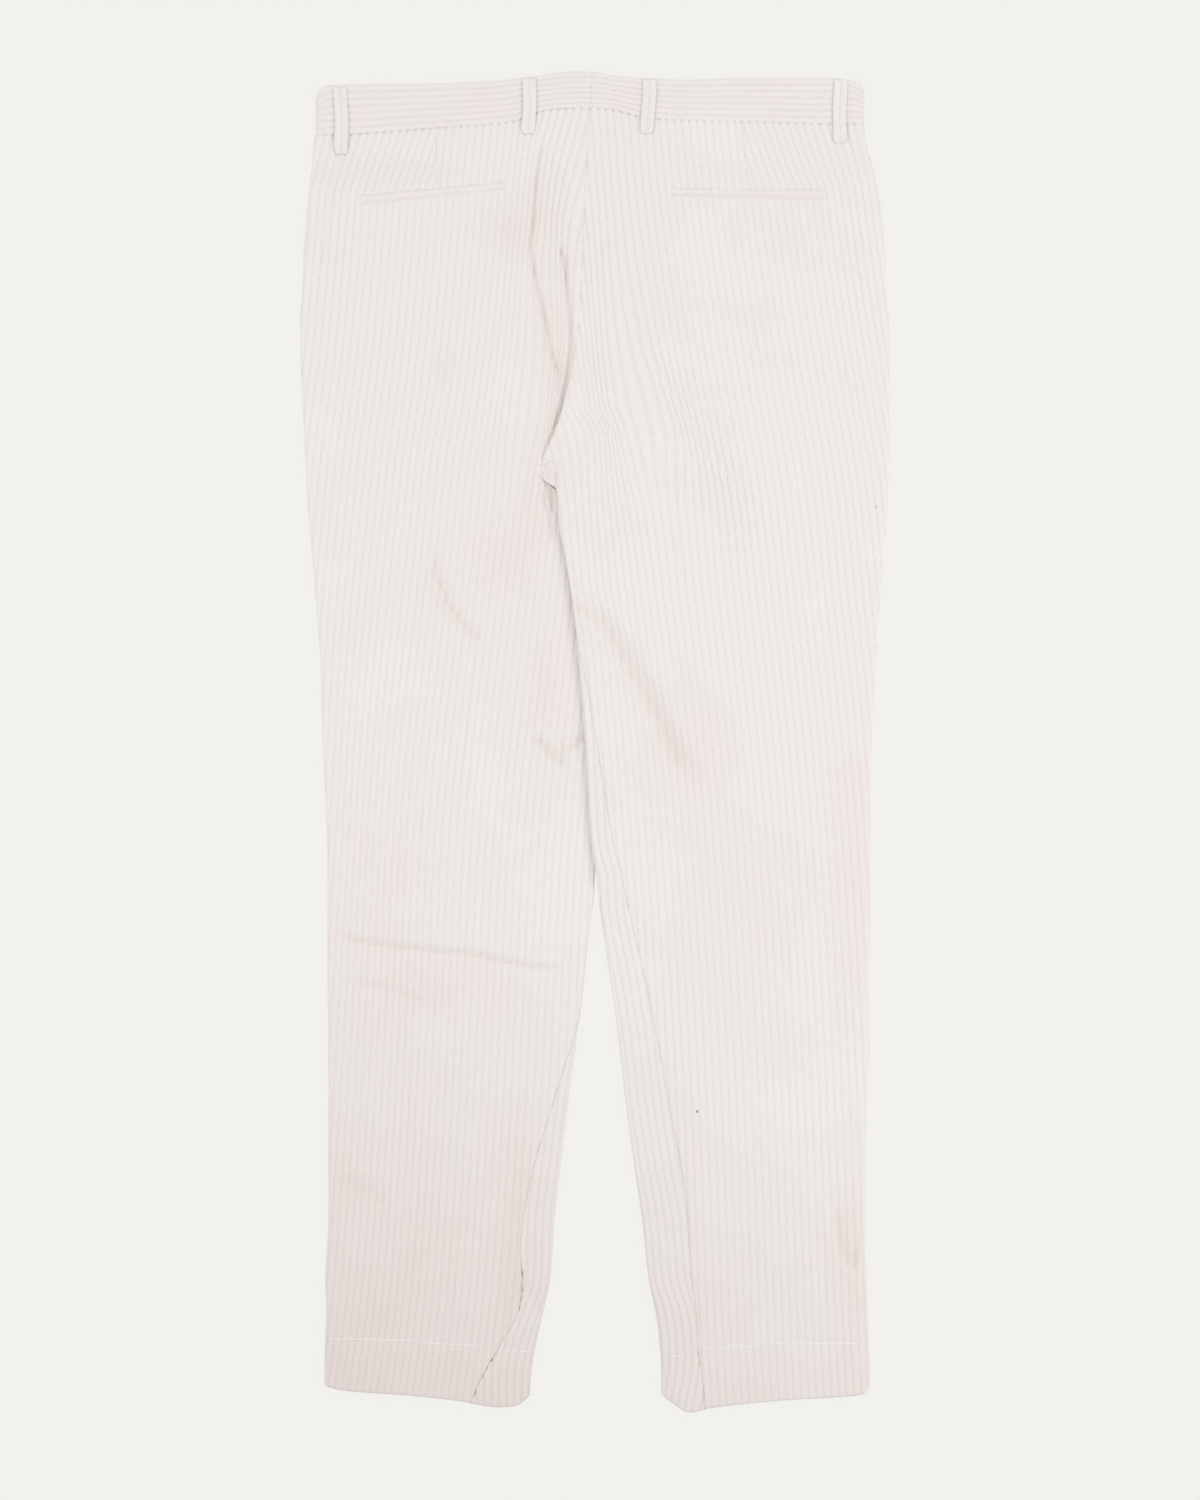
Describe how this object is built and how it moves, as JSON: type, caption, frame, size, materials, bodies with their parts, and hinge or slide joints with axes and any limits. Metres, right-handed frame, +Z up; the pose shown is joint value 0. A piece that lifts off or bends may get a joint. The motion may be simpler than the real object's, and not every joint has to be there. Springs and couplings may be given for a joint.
{
  "type": "corduroy trousers",
  "caption": "Straight wide-wale corduroy trousers laid flat on their front, with a ribbed waistband, belt loops, back darts and welt pockets on the back, and plain turned-up hems.",
  "frame": {"origin": "centre of the bounding box's base, on the surface the trousers lie on", "axes": "+Y runs along the legs to the waist, +X across the trousers to the right-hand side as they lie with the back up, +Z up out of the surface"},
  "size_m": [0.472, 1.0712, 0.0128],
  "materials": {
    "corduroy": "cream wide-wale cotton corduroy, matt with a soft nap"
  },
  "bodies": {
    "root": {"back_panel_left": "corduroy", "back_panel_right": "corduroy", "front_panel_left": "corduroy", "front_panel_right": "corduroy", "waistband_left": "corduroy", "waistband_right": "corduroy", "belt_loop_side_left": "corduroy", "belt_loop_back_left": "corduroy", "belt_loop_back_right": "corduroy", "belt_loop_side_right": "corduroy", "belt_loop_front_left": "corduroy", "belt_loop_front_right": "corduroy", "back_pocket_welt_left": "corduroy", "back_pocket_welt_right": "corduroy"}
  },
  "joints": []
}
